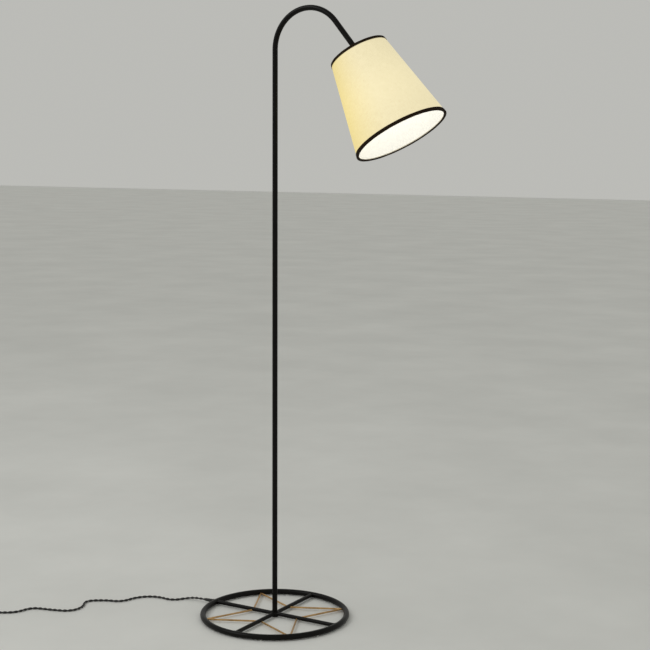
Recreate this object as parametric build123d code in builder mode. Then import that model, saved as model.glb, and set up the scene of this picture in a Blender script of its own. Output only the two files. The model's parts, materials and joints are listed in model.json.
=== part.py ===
from build123d import *
import os
from math import cos, pi, radians, sin, tan

# Arched floor lamp on a hoop base with a brass star. Millimetres, +Z up.
# The origin is on the floor under the post; the arch leans towards +X.

# ---------------------------------------------------------------- base
pad_thickness = 1.5
pad_diameter = 9.0
pad_count = 8
pad_groove_clearance = 0.05

hoop_radius = 180.0  # to the bar's centre line
hoop_bar = 14.0
spoke_bar = 10.0
conduit_bore = 6.6
star_rod = 4.5
star_waist = 65.0  # where the star's legs meet the spokes
star_drop = 2.0  # the star's rods sit this far below the spokes' centre
star_tip_inset = 5.0  # from the hoop's centre line to the corner of two legs

hub_diameter = 18.0
hub_neck_top = 29.5
hub_cavity = 9.0
hub_floor = 3.5  # solid metal left under the cavity

base_level = pad_thickness + hoop_bar / 2  # height of the hoop's centre

# ---------------------------------------------------------------- post
post_diameter = 13.0
post_bore = 10.0
arch_start = 1403.0  # height where the straight post ends
arch_radius = 94.5
arch_lead = 20.0  # straight length at the foot of the arched tube
sleeve_length = 36.0  # inside the tubes, half in each
sleeve_bore = 8.4
arch_sweep = 140.0  # degrees of bend, from straight up
neck_straight = 79.0  # straight tube after the bend

thread_diameter = 9.9  # the hollow threaded nipples
thread_bore = 6.6
thread_clearance = 0.1
nipple_length = 27.0

# ---------------------------------------------------------------- swivel
neck_to_pivot = 97.0  # from the end of the bend to the swivel's pivot
head_tilt = 148.75  # degrees, the lampholder's axis from straight up
drum_diameter = 20.0
drum_width = 9.0  # each half, from the middle
drum_wall = 2.0
drum_gap = 0.2  # between the two halves
cap_seat = 18.0  # from the pivot to the lampholder's cap
running_gap = 0.4
pivot_screw = 4.0
pivot_clearance = 0.06
screw_head = (8.0, 2.2)
screw_slot = (1.0, 1.0)
wave_washer = (9.0, 0.6)
dome_nut = (7.0, 3.4)
spigot_length = 12.0

# ---------------------------------------------------------------- lampholder
shell_radius = 17.4
shell_wall = 0.8
cap_neck = 8.0  # radius round the thread
cap_neck_length = 4.0
cap_thread_length = 8.0
cap_shoulder = 32.0  # distances along the head's axis, from the pivot
cap_skirt = 42.0
cap_wall = 0.8
shell_start = 36.0
shell_end = 88.0
liner_end = 89.5
bead_start = 60.0
bead_thickness = 1.5
bead_radius = 20.0
liner_wall = 0.8
body_start = 43.0
body_end = 57.0
knob_place = 50.0
terminal_place = 50.0
terminal_offset = 9.5  # from the axis to the terminal screws' seats
terminal_recess = 8.0  # square
terminal_head = (6.4, 2.0)  # diameter, height
terminal_slot = 0.8  # width and depth
grub_screw = (3.0, 1.6)  # diameter, height outside the cap's neck
grub_slot = 0.6
wire_hole_depth = 6.0
knob_stem = 4.0
knob_diameter = 11.0
knob_length = 9.0
knob_start = 23.0
stem_bearing = 4.0  # the stem's blind hole starts this far from the axis
stem_end_play = 0.2
fit_gap = 0.1  # between pieces that slide together once

thread_pitch = 3.6  # the lamp screw thread
thread_crest = 13.2  # the bulb cap's largest radius
thread_depth = 0.8
thread_gap = 0.25
screw_shell_wall = 0.6
screw_shell_turns = 6

# ---------------------------------------------------------------- bulb
bulb_tip_place = 60.3
bulb_cap_start = 65.0
bulb_neck_radius = 12.0
bulb_radius = 30.0
bulb_widest = 138.0
bulb_glass = 0.8

# ---------------------------------------------------------------- shade
shade_top_radius = 70.0  # outside of the cloth
shade_bottom_radius = 114.6
shade_length = 223.0
cover_wall = 0.7  # measured across the axis
lining_wall = 0.6
ring_wire = 3.0
ring_inset = 2.2
arm_wire = 2.6
arm_turns = (60, 180, 300)  # degrees round from the switch knob
fitter_thickness = 1.5
fitter_radius = 22.0
fitter_clearance = 0.5
arm_foot_radius = 20.8  # where the arms' centre lines meet the fitter
lock_ring_radius = 22.5
lock_ring_height = 5.0
binding_thickness = 0.7
top_binding_width = 6.0
bottom_binding_width = 6.5
inner_binding_width = 4.5
binding_clearance = 0.05

# ---------------------------------------------------------------- flex
flex_diameter = 6.0  # the two twisted cores together
inner_flex_diameter = 4.4
hub_bend = 8.0
gland_flange = (11.0, 2.0)
gland_sleeve = (24.0, 9.4, 7.4)  # length, thick end, thin end
gland_spigot = (7.4, 5.0)
floor_lie = flex_diameter / 2 + 0.1  # height of the flex's centre on the floor

gland_end = -(hoop_radius + hoop_bar / 2 + gland_flange[1] + gland_sleeve[0])

coil_centre = (-648.0, -420.0)
coil_inner = 24.0
coil_outer = 48.0
coil_height = 11.6
coil_corner = 4.0

plug_place = (-592.0, -495.0)  # where the flex goes into the plug
plug_heading = 5.7  # degrees from +X, the way the blades point
plug_level = 8.0
plug_sleeve = (22.0, 7.4, 11.0)  # length, thin end, thick end
plug_body_size = (28.0, 25.0, 16.0)  # length, width, thickness
plug_corner = 5.0
blade_size = (17.0, 1.5, 6.4)  # length, thickness, height
blade_spacing = 12.7
blade_hole = 3.0

# The flex's route from the gland to the coil, as chosen points.
flex_route = [
    (gland_end, 0.0, base_level),
    (-243.0, 0.0, base_level),
    (-271.0, -3.0, floor_lie),
    (-293.0, -38.0, floor_lie),
    (-345.0, -31.0, floor_lie),
    (-386.0, -62.0, floor_lie),
    (-396.0, -116.0, floor_lie),
    (-440.0, -127.0, floor_lie),
    (-482.0, -160.0, floor_lie),
    (-451.0, -203.0, floor_lie),
    (-458.0, -245.0, floor_lie),
    (-510.0, -262.0, floor_lie),
    (-560.0, -273.0, floor_lie),
    (-567.0, -324.0, floor_lie),
    (-606.0, -349.0, floor_lie),
    (-668.0, -379.5, floor_lie),
]

# From the coil to the plug.
tail_route = [
    (-677.0, -457.0, 7.5),
    (-663.0, -480.0, 4.2),
    (-640.0, -496.0, floor_lie),
    (-612.0, -497.0, plug_level),
    (plug_place[0], plug_place[1], plug_level),
]


def bend_radii(route):
    """The largest even radius that each corner's two runs allow."""
    points = [Vector(*p) for p in route]
    radii = []
    for before, corner, after in zip(points, points[1:], points[2:]):
        run_in, run_out = corner - before, after - corner
        half_turn = radians(run_in.get_angle(run_out)) / 2
        radii.append(0.45 * min(run_in.length, run_out.length) / tan(half_turn))
    return radii


def laid_flex(route):
    """A length of flex along straight runs joined by tangent arcs."""
    with BuildPart() as length:
        with BuildLine() as line:
            FilletPolyline(*route, radius=bend_radii(route))
        path = line.wire()
        with BuildSketch(Plane(origin=path @ 0, z_dir=path % 0)):
            Circle(flex_diameter / 2)
        sweep(path=path)
    print("radii", [round(r) for r in bend_radii(route)], "length", round(path.length))
    print("volume", round(length.part.volume), "section x length",
          round(pi * flex_diameter**2 / 4 * path.length))
    return length


def section_at(pivot, angle):
    """A plane through an axis that leans by angle: x is the radius, y runs along the axis."""
    lean = radians(angle)
    return Plane(origin=pivot, x_dir=(-cos(lean), 0, sin(lean)), z_dir=(0, 1, 0))


def across(section, distance):
    """A plane square to the section's axis, at a distance along it."""
    return Plane(
        origin=section.origin + section.y_dir * distance,
        x_dir=section.x_dir,
        z_dir=section.y_dir,
    )


def turned(section, outline):
    """A piece turned about the section's axis from (radius, distance) points."""
    with BuildPart() as piece:
        with BuildSketch(section):
            with BuildLine():
                Polyline(*outline, close=True)
            make_face()
        revolve(axis=Axis(section.origin, section.y_dir))
    return piece


def ring_outline(inner, outer, start, end):
    return [(inner, start), (outer, start), (outer, end), (inner, end)]


pieces = {}

# ---------------------------------------------------------------- the hoop base
with BuildPart() as base_hoop:
    with BuildSketch(Plane(origin=(hoop_radius, 0, base_level), x_dir=(0, 0, 1), z_dir=(0, 1, 0))):
        Circle(hoop_bar / 2)
    revolve(axis=Axis.Z)
    # The flex leaves through the hoop, behind the arch.
    with BuildSketch(Plane(origin=(-hoop_radius - hoop_bar, 0, base_level), z_dir=(1, 0, 0))):
        Circle(gland_spigot[0] / 2 + binding_clearance)
    extrude(amount=2 * hoop_bar, mode=Mode.SUBTRACT)
pieces["base_hoop"] = base_hoop

with BuildPart() as floor_pads:
    with PolarLocations(hoop_radius, pad_count, start_angle=180 / pad_count):
        Cylinder(pad_diameter / 2, 2 * pad_thickness,
                 align=(Align.CENTER, Align.CENTER, Align.MIN))
    with Locations((0, 0, base_level)):
        Torus(hoop_radius, hoop_bar / 2 + pad_groove_clearance, mode=Mode.SUBTRACT)
pieces["floor_pads"] = floor_pads

with BuildPart() as hub_boss:
    with BuildSketch(Plane.XY.offset(pad_thickness)):
        Circle(hub_diameter / 2)
    extrude(amount=hoop_bar)
    with BuildSketch(Plane.XY.offset(pad_thickness + hoop_bar)):
        Circle(post_diameter / 2)
    extrude(amount=hub_neck_top - pad_thickness - hoop_bar)
    with BuildSketch(Plane.XY.offset(pad_thickness + hub_floor)):
        Circle(hub_cavity / 2)
    extrude(amount=hub_neck_top, mode=Mode.SUBTRACT)
    with BuildSketch(Plane.XY.offset(base_level + hub_bend)):
        Circle((thread_diameter + thread_clearance) / 2)
    extrude(amount=hub_neck_top, mode=Mode.SUBTRACT)
    with BuildSketch(Plane(origin=(-hub_diameter, 0, base_level), z_dir=(1, 0, 0))):
        Circle(conduit_bore / 2)
    extrude(amount=hub_diameter, mode=Mode.SUBTRACT)
pieces["hub_boss"] = hub_boss

with BuildPart() as hub_pad:
    with BuildSketch(Plane.XY):
        Circle(hub_diameter / 2 - 1)
    extrude(amount=pad_thickness)
pieces["hub_pad"] = hub_pad


def spoke(angle, bore=0.0):
    """One bar from the hub to the hoop, cut to sit against both."""
    heading = (cos(radians(angle)), sin(radians(angle)), 0)
    with BuildPart() as bar:
        with BuildSketch(Plane(origin=(0, 0, base_level), z_dir=heading)):
            Circle(spoke_bar / 2)
            if bore:
                Circle(bore / 2, mode=Mode.SUBTRACT)
        extrude(amount=hoop_radius)
        with Locations((0, 0, base_level)):
            Torus(hoop_radius, hoop_bar / 2, mode=Mode.SUBTRACT)
            Cylinder(hub_diameter / 2, 2 * hoop_bar, mode=Mode.SUBTRACT)
    return bar


pieces["spoke_front"] = spoke(0)
pieces["spoke_left"] = spoke(90)
pieces["spoke_right"] = spoke(270)
pieces["cord_conduit"] = spoke(180, conduit_bore)


def star_point(first_spoke):
    """Two brass rods from neighbouring spokes to a shared tip on the hoop."""
    level = base_level - star_drop
    diagonal = radians(first_spoke + 45)
    tip_radius = hoop_radius - star_tip_inset
    tip = Vector(tip_radius * cos(diagonal), tip_radius * sin(diagonal), level)
    with BuildPart() as point:
        for angle in (radians(first_spoke), radians(first_spoke + 90)):
            foot = Vector(star_waist * cos(angle), star_waist * sin(angle), level)
            with BuildSketch(Plane(origin=foot, z_dir=tip - foot)):
                Circle(star_rod / 2)
            extrude(amount=(tip - foot).length)
        with Locations((0, 0, base_level)):
            Torus(hoop_radius, hoop_bar / 2, mode=Mode.SUBTRACT)
        for heading in ((1, 0, 0), (0, 1, 0)):
            with BuildSketch(Plane(origin=(0, 0, base_level), z_dir=heading)):
                Circle(spoke_bar / 2)
            extrude(amount=hoop_radius, both=True, mode=Mode.SUBTRACT)
    return point


for number in range(4):
    pieces[f"star_point_{number + 1}"] = star_point(90 * number)

# ---------------------------------------------------------------- post and arch
nipple_start = base_level + hub_bend
with BuildPart() as post_nipple:
    with BuildSketch(Plane.XY.offset(nipple_start)):
        Circle(thread_diameter / 2)
        Circle(thread_bore / 2, mode=Mode.SUBTRACT)
    extrude(amount=nipple_length)
pieces["post_nipple"] = post_nipple


def bent_line(start_height, straight_end):
    """The post's centre line: up, round the arch and down the neck."""
    with BuildLine(Plane.XZ) as line:
        rise = Line((0, start_height), (0, arch_start))
        arch = JernArc(start=rise @ 1, tangent=rise % 1, radius=arch_radius, arc_size=-arch_sweep)
        Line(arch @ 1, arch @ 1 + (arch % 1) * straight_end)
    return line.wire(), arch @ 1, arch % 1


# The post and the arch are two lengths, pushed together over a sleeve, welded and ground flush.
post_line, bend_end, neck_direction = bent_line(arch_start - arch_lead, neck_straight)


def round_tube(level, outer, inner):
    """A tube's section at this height."""
    with BuildSketch(Plane.XY.offset(level)) as section:
        Circle(outer / 2)
        Circle(inner / 2, mode=Mode.SUBTRACT)
    return section.sketch


with BuildPart() as post_tube:
    add(round_tube(hub_neck_top, post_diameter, post_bore))
    extrude(amount=arch_start - arch_lead - hub_neck_top)
pieces["post_tube"] = post_tube

with BuildPart() as arch_tube:
    add(round_tube(arch_start - arch_lead, post_diameter, post_bore))
    sweep(path=post_line)
pieces["arch_tube"] = arch_tube
print("arch volume", round(arch_tube.part.volume), "section x length",
      round(pi / 4 * (post_diameter**2 - post_bore**2) * post_line.length))

with BuildPart() as post_sleeve:
    add(round_tube(arch_start - arch_lead - sleeve_length / 2, post_bore, sleeve_bore))
    extrude(amount=sleeve_length)
pieces["post_sleeve"] = post_sleeve

# ---------------------------------------------------------------- swivel
pivot = bend_end + neck_direction * neck_to_pivot
neck = section_at(pivot, arch_sweep)
head = section_at(pivot, head_tilt)
tube_end = -(neck_to_pivot - neck_straight)
print("pivot", [round(v, 2) for v in pivot], "head axis", [round(v, 5) for v in head.y_dir])


def swivel_half(section, side, boss_end, spigot, screw_hole):
    """One cup of the hollow swivel: side is -1 or +1 along Y, the boss runs to boss_end."""
    inner_face = side * drum_gap / 2
    with BuildPart() as half:
        with BuildSketch(section.offset(inner_face)):
            Circle(drum_diameter / 2)
        extrude(amount=side * (drum_width - drum_gap / 2))
        with BuildSketch(section):
            with BuildLine():
                Polyline(*ring_outline(0, post_diameter / 2, 0, boss_end), close=True)
            make_face()
        revolve(axis=Axis(section.origin, section.y_dir))
        # The boss stands clear of the other cup.
        with BuildSketch(section.offset(inner_face)):
            Circle(drum_diameter / 2 + running_gap)
        extrude(amount=-side * drum_width, mode=Mode.SUBTRACT)
        with BuildSketch(section):
            with BuildLine():
                Polyline(*ring_outline(0, spigot[0] / 2, boss_end, spigot[1]), close=True)
            make_face()
        revolve(axis=Axis(section.origin, section.y_dir))
        # The hollow that the flex passes through, and the way in.
        with BuildSketch(section.offset(inner_face)):
            Circle(drum_diameter / 2 - drum_wall)
        extrude(amount=side * (drum_width - drum_gap / 2 - drum_wall), mode=Mode.SUBTRACT)
        with BuildSketch(section):
            with BuildLine():
                Polyline(*ring_outline(0, thread_bore / 2, 0, spigot[1]), close=True)
            make_face()
        revolve(axis=Axis(section.origin, section.y_dir), mode=Mode.SUBTRACT)
        with BuildSketch(section):
            Circle(screw_hole / 2)
        extrude(amount=side * 2 * drum_width, mode=Mode.SUBTRACT)
    return half


pieces["swivel_upper"] = swivel_half(
    neck, -1, tube_end, (post_bore - fit_gap, tube_end - spigot_length),
    pivot_screw + 2 * pivot_clearance,
)
pieces["swivel_lower"] = swivel_half(
    head, 1, cap_seat, (thread_diameter, cap_seat + spigot_length),
    pivot_screw + 2 * pivot_clearance,
)

washer_radius, washer_height = wave_washer[0] / 2, wave_washer[1]
nut_start = drum_width + washer_height + drum_gap
with BuildPart() as swivel_screw:
    with BuildSketch(neck.offset(-drum_width - screw_head[1])):
        Circle(screw_head[0] / 2)
    extrude(amount=screw_head[1])
    fillet(swivel_screw.faces().sort_by(Axis.Y)[0].edges(), radius=0.8)
    with BuildSketch(neck.offset(-drum_width)):
        Circle(pivot_screw / 2)
    extrude(amount=drum_width + nut_start + dome_nut[1] / 2)
    with BuildSketch(neck.offset(-drum_width - screw_head[1])):
        Rectangle(screw_head[0] + 1, screw_slot[0])
    extrude(amount=screw_slot[1], mode=Mode.SUBTRACT)
pieces["swivel_screw"] = swivel_screw

with BuildPart() as swivel_washer:
    with BuildSketch(neck.offset(drum_width + drum_gap / 2)):
        Circle(washer_radius)
        Circle(pivot_screw / 2 + pivot_clearance, mode=Mode.SUBTRACT)
    extrude(amount=washer_height)
pieces["swivel_washer"] = swivel_washer

with BuildPart() as swivel_nut:
    with BuildSketch(neck.offset(nut_start)):
        RegularPolygon(dome_nut[0] / 2, 6, major_radius=False)
    extrude(amount=dome_nut[1])
    chamfer(swivel_nut.faces().sort_by(Axis.Y)[-1].edges(), length=0.6)
    with BuildSketch(neck.offset(nut_start)):
        Circle(pivot_screw / 2 + fit_gap / 2)
    extrude(amount=dome_nut[1] / 2 + fit_gap, mode=Mode.SUBTRACT)
pieces["swivel_nut"] = swivel_nut

# ---------------------------------------------------------------- lampholder
cap_hole = (thread_diameter + thread_clearance) / 2
skirt_inner = shell_radius + fit_gap
pieces["socket_cap"] = turned(head, [
    (cap_hole, cap_seat),
    (cap_neck, cap_seat),
    (cap_neck, cap_seat + cap_neck_length),
    (skirt_inner + cap_wall, cap_shoulder),
    (skirt_inner + cap_wall, cap_skirt),
    (skirt_inner, cap_skirt),
    (skirt_inner, cap_shoulder + cap_wall),
    (cap_neck - cap_wall, cap_seat + cap_neck_length + cap_wall),
    (cap_neck - cap_wall, cap_seat + cap_thread_length),
    (cap_hole, cap_seat + cap_thread_length),
])

shell_inner = shell_radius - shell_wall
stem_plane = Plane(origin=head.origin + head.y_dir * knob_place, x_dir=head.x_dir, z_dir=(0, 1, 0))
with BuildPart() as socket_shell:
    with BuildSketch(head):
        with BuildLine():
            Polyline(
                (shell_inner, shell_start),
                (shell_radius, shell_start),
                (shell_radius, bead_start),
                (bead_radius, bead_start),
                (bead_radius, bead_start + bead_thickness),
                (shell_radius, bead_start + bead_thickness),
                (shell_radius, shell_end),
                (shell_inner, shell_end),
                close=True,
            )
        make_face()
    revolve(axis=Axis(head.origin, head.y_dir))
    with BuildSketch(stem_plane):
        Circle(knob_stem / 2 + 1)
    extrude(amount=2 * shell_radius, mode=Mode.SUBTRACT)
pieces["socket_shell"] = socket_shell

liner_outer = shell_inner - fit_gap
with BuildPart() as socket_liner:
    with BuildSketch(head):
        with BuildLine():
            Polyline(*ring_outline(liner_outer - liner_wall, liner_outer, body_start, liner_end),
                     close=True)
        make_face()
    revolve(axis=Axis(head.origin, head.y_dir))
    with BuildSketch(stem_plane):
        Circle(knob_stem / 2 + 1)
    extrude(amount=2 * shell_radius, mode=Mode.SUBTRACT)
pieces["socket_liner"] = socket_liner

body_radius = liner_outer - liner_wall - fit_gap
core_hole = 3.4
core_offset = 5.5
with BuildPart() as socket_body:
    with BuildSketch(across(head, body_start)):
        Circle(body_radius)
    extrude(amount=body_end - body_start)
    # Wire holes, terminal screw recesses and the switch's bearing.
    with BuildSketch(across(head, body_start)):
        with Locations((core_offset, 0), (-core_offset, 0)):
            Circle(core_hole / 2)
    extrude(amount=wire_hole_depth, mode=Mode.SUBTRACT)
    for side in (1, -1):
        recess = Plane(origin=head.origin + head.y_dir * terminal_place + head.x_dir * side * terminal_offset,
                       x_dir=(0, 1, 0), z_dir=head.x_dir * side)
        with BuildSketch(recess):
            Rectangle(terminal_recess, terminal_recess)
        extrude(amount=body_radius, mode=Mode.SUBTRACT)
    with BuildSketch(stem_plane.offset(stem_bearing)):
        Circle(knob_stem / 2 + pivot_clearance)
    extrude(amount=body_radius, mode=Mode.SUBTRACT)
pieces["socket_body"] = socket_body

with BuildPart() as terminal_screws:
    for side in (1, -1):
        seat = Plane(origin=head.origin + head.y_dir * terminal_place + head.x_dir * side * terminal_offset,
                     x_dir=(0, 1, 0), z_dir=head.x_dir * side)
        with BuildSketch(seat):
            Circle(terminal_head[0] / 2)
        extrude(amount=terminal_head[1])
        with BuildSketch(seat.offset(terminal_head[1])):
            Rectangle(terminal_head[0] + 1, terminal_slot)
        extrude(amount=-terminal_slot, mode=Mode.SUBTRACT)
pieces["terminal_screws"] = terminal_screws


def thread_profile(crest, start, turns):
    """Crest and root points of a rolled lamp thread, one pair for each turn."""
    points = []
    for turn in range(turns):
        place = start + turn * thread_pitch
        for share, radius in ((0.0, crest - thread_depth), (0.3, crest),
                              (0.5, crest), (0.8, crest - thread_depth)):
            points.append((radius, place + share * thread_pitch))
    return points


cap_thread = thread_profile(thread_crest, bulb_cap_start, screw_shell_turns)
shell_thread = [(r + thread_gap, s) for r, s in cap_thread]
thread_end = cap_thread[-1][1]
pieces["screw_shell"] = turned(head, shell_thread + [
    (thread_crest + thread_gap + screw_shell_wall, thread_end),
    (thread_crest + thread_gap + screw_shell_wall, body_end + fit_gap / 2),
    (5.5, body_end + fit_gap / 2),
    (5.5, body_end + fit_gap / 2 + screw_shell_wall),
    (thread_crest + thread_gap - thread_depth, body_end + fit_gap / 2 + screw_shell_wall),
])

pieces["centre_contact"] = turned(head, [
    (0, body_end + 0.05), (4.5, body_end + 0.05), (4.5, body_end + 1.0),
    (2.5, body_end + 1.0), (2.0, bulb_tip_place - 0.1), (0, bulb_tip_place - 0.1),
])

with BuildPart() as switch_knob:
    with BuildSketch(stem_plane.offset(stem_bearing + stem_end_play)):
        Circle(knob_stem / 2)
    extrude(amount=knob_start - stem_bearing - stem_end_play)
    with BuildSketch(stem_plane.offset(knob_start)):
        Circle(knob_diameter / 2)
    extrude(amount=knob_length)
    fillet(switch_knob.faces().sort_by(Axis.Y)[-1].edges(), radius=1.2)
    with BuildSketch(stem_plane.offset(knob_start)):
        with PolarLocations(knob_diameter / 2 + 0.3, 12):
            Circle(0.9)
    extrude(amount=knob_length, mode=Mode.SUBTRACT)
pieces["switch_knob"] = switch_knob

with BuildPart() as cap_grub_screw:
    grub_plane = Plane(origin=head.origin + head.y_dir * (cap_seat + cap_neck_length / 2),
                       x_dir=head.y_dir, z_dir=head.x_dir)
    with BuildSketch(grub_plane.offset(cap_neck)):
        Circle(grub_screw[0] / 2)
    extrude(amount=grub_screw[1])
    with BuildSketch(grub_plane.offset(cap_neck + grub_screw[1])):
        Rectangle(grub_screw[0] + 1, grub_slot)
    extrude(amount=-grub_slot, mode=Mode.SUBTRACT)
pieces["cap_grub_screw"] = cap_grub_screw

fitter_start = bead_start + bead_thickness + fit_gap
lock_start = fitter_start + fitter_thickness + fit_gap
with BuildPart() as shade_lock_ring:
    with BuildSketch(across(head, lock_start)):
        Circle(lock_ring_radius)
        Circle(shell_radius + fit_gap, mode=Mode.SUBTRACT)
        with PolarLocations(lock_ring_radius + 0.6, 24):
            Circle(1.3, mode=Mode.SUBTRACT)
    extrude(amount=lock_ring_height)
pieces["shade_lock_ring"] = shade_lock_ring

# ---------------------------------------------------------------- bulb
pieces["bulb_tip"] = turned(head, [
    (0, bulb_tip_place), (2.4, bulb_tip_place), (4.2, bulb_tip_place + 1.6), (0, bulb_tip_place + 1.6),
])
cap_lip = thread_crest - thread_depth - 1.2
pieces["bulb_insulator"] = turned(head, [
    (0, bulb_tip_place + 1.65), (4.4, bulb_tip_place + 1.65),
    (cap_lip - 0.1, bulb_cap_start - 0.2), (cap_lip - 0.1, bulb_cap_start + 1.5),
    (0, bulb_cap_start + 1.5),
])
cap_rim = thread_end + 3.0
pieces["bulb_cap"] = turned(head, cap_thread + [
    (thread_crest + 0.1, thread_end + 0.6),
    (thread_crest + 0.1, cap_rim),
    (bulb_neck_radius + 0.05, cap_rim),
    (bulb_neck_radius + 0.05, bulb_cap_start + 3.0),
    (cap_lip, bulb_cap_start + 1.6),
    (cap_lip, bulb_cap_start),
])


def bulb_shape(inset):
    """The pear-shaped bulb turned about the head's axis, inset by a glass thickness."""
    neck_radius, belly_radius = bulb_neck_radius - inset, bulb_radius - inset
    with BuildPart() as shape:
        with BuildSketch(head):
            with BuildLine():
                Line((neck_radius, stem_base), (neck_radius, cap_rim + 2))
                Spline(
                    (neck_radius, cap_rim + 2),
                    (bulb_radius * 0.72 - inset, bulb_widest - 0.75 * bulb_radius),
                    (belly_radius, bulb_widest),
                    tangents=[(0, 1), (0, 1)],
                )
                CenterArc((0, bulb_widest), belly_radius, 0, 90)
                Polyline((0, bulb_widest + belly_radius), (0, stem_base), (neck_radius, stem_base))
            make_face()
        revolve(axis=Axis(head.origin, head.y_dir))
    return shape.part


stem_base = cap_rim - 6
with BuildPart() as bulb_globe:
    add(bulb_shape(0.0))
    add(bulb_shape(bulb_glass), mode=Mode.SUBTRACT)
pieces["bulb_globe"] = bulb_globe

pieces["bulb_stem"] = turned(head, [
    (0, stem_base), (bulb_neck_radius - bulb_glass - 0.1, stem_base),
    (bulb_neck_radius - bulb_glass - 0.1, stem_base + 1.5), (4.0, stem_base + 9),
    (3.0, stem_base + 22), (2.0, stem_base + 54), (0, stem_base + 54),
])
with BuildPart() as bulb_filaments:
    with BuildSketch(across(head, stem_base + 20)):
        with PolarLocations(7.0, 4, start_angle=45):
            Circle(0.9)
    extrude(amount=34)
pieces["bulb_filaments"] = bulb_filaments

# ---------------------------------------------------------------- shade
flare = (shade_bottom_radius - shade_top_radius) / shade_length


def cloth_radius(distance):
    """The cloth's outside radius at a distance below the shade's top edge."""
    return shade_top_radius + flare * distance


def shade_wall(outer_inset, inner_inset):
    return [
        (cloth_radius(0) - inner_inset, 0),
        (cloth_radius(0) - outer_inset, 0),
        (cloth_radius(shade_length) - outer_inset, shade_length),
        (cloth_radius(shade_length) - inner_inset, shade_length),
    ]


lining_start = cover_wall + binding_clearance / 2
wall_inner = lining_start + lining_wall
pieces["shade_cover"] = turned(head, shade_wall(0, cover_wall))
pieces["shade_lining"] = turned(head, shade_wall(lining_start, wall_inner))

wire_clearance = 0.15
top_wire_radius = cloth_radius(ring_inset) - wall_inner - wire_clearance - ring_wire / 2
bottom_wire_place = shade_length - ring_inset
bottom_wire_radius = (cloth_radius(bottom_wire_place) - wall_inner - wire_clearance
                      - 2 * flare - ring_wire / 2)



def arm_ends(turn):
    """Where an arm meets the fitter and the top wire, at a turn round from the knob."""
    spread = head.x_dir * sin(radians(turn)) + head.z_dir * cos(radians(turn))
    foot = across(head, fitter_start + fitter_thickness / 2).origin + spread * arm_foot_radius
    top = across(head, ring_inset).origin + spread * top_wire_radius
    return foot, top


with BuildPart() as shade_frame:
    with BuildSketch(across(head, fitter_start)):
        Circle(fitter_radius)
        Circle(shell_radius + fitter_clearance, mode=Mode.SUBTRACT)
    extrude(amount=fitter_thickness)
    with BuildSketch(head):
        with Locations((top_wire_radius, ring_inset)):
            Circle(ring_wire / 2)
    revolve(axis=Axis(head.origin, head.y_dir))
    for turn in arm_turns:
        foot, top = arm_ends(turn)
        with BuildSketch(Plane(origin=foot, z_dir=top - foot)):
            Circle(arm_wire / 2)
        extrude(amount=(top - foot).length)
    # The arms' feet stop short of the lampholder's shell and bead.
    with BuildSketch(across(head, fitter_start - 6)):
        Circle(bead_radius + fitter_clearance)
    extrude(amount=6, mode=Mode.SUBTRACT)
    with BuildSketch(across(head, fitter_start)):
        Circle(shell_radius + fitter_clearance)
    extrude(amount=6, mode=Mode.SUBTRACT)
    # Nothing stands below the fitter's flat face.
    with BuildSketch(across(head, fitter_start + fitter_thickness)):
        Circle(fitter_radius + arm_wire)
    extrude(amount=6, mode=Mode.SUBTRACT)
pieces["shade_frame"] = shade_frame

with BuildPart() as shade_bottom_ring:
    with BuildSketch(head):
        with Locations((bottom_wire_radius, bottom_wire_place)):
            Circle(ring_wire / 2)
    revolve(axis=Axis(head.origin, head.y_dir))
pieces["shade_bottom_ring"] = shade_bottom_ring


def binding(edge, inward, width, wire_radius):
    """A strip of cloth folded over the shade's edge; inward is +1 at the top, -1 at the bottom."""
    outside = edge + inward * width
    inside = edge + inward * inner_binding_width
    fold = edge - inward * (binding_clearance + binding_thickness)
    lip = edge - inward * binding_clearance
    inner = wire_radius - ring_wire / 2 - binding_clearance
    return [
        (cloth_radius(outside) + binding_clearance, outside),
        (cloth_radius(outside) + binding_clearance + binding_thickness, outside),
        (cloth_radius(edge) + binding_clearance + binding_thickness, fold),
        (inner - binding_thickness, fold),
        (inner - binding_thickness, inside),
        (inner, inside),
        (inner, lip),
        (cloth_radius(edge) + binding_clearance, lip),
    ]


arm_slit = arm_wire + 0.4
with BuildPart() as top_binding:
    add(turned(head, binding(0, 1, top_binding_width, top_wire_radius)).part)
    # The tape is slit where each arm comes through it.
    for turn in arm_turns:
        foot, top = arm_ends(turn)
        with BuildSketch(Plane(origin=foot, z_dir=top - foot)):
            Circle(arm_slit / 2)
        extrude(amount=(top - foot).length, mode=Mode.SUBTRACT)
pieces["top_binding"] = top_binding
pieces["bottom_binding"] = turned(
    head, binding(shade_length, -1, bottom_binding_width, bottom_wire_radius))

# ---------------------------------------------------------------- flex inside the lamp
hoop_outside = hoop_radius + hoop_bar / 2
flex_stop = drum_diameter / 2 + running_gap + 0.2  # each length ends at the swivel's drum
with BuildPart() as inner_flex:
    with BuildLine(Plane.XZ) as inner_line:
        run = Line((gland_end, base_level), (-hub_bend, base_level))
        corner = JernArc(start=run @ 1, tangent=run % 1, radius=hub_bend, arc_size=90)
        rise = Line(corner @ 1, (0, arch_start))
        arch = JernArc(start=rise @ 1, tangent=rise % 1, radius=arch_radius, arc_size=-arch_sweep)
        Line(arch @ 1, arch @ 1 + (arch % 1) * (neck_to_pivot - flex_stop))
    with BuildSketch(Plane(origin=(gland_end, 0, base_level), z_dir=(1, 0, 0))):
        Circle(inner_flex_diameter / 2)
    sweep(path=inner_line.wire())
pieces["inner_flex"] = inner_flex
print("inner flex length", round(inner_line.wire().length))

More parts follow.
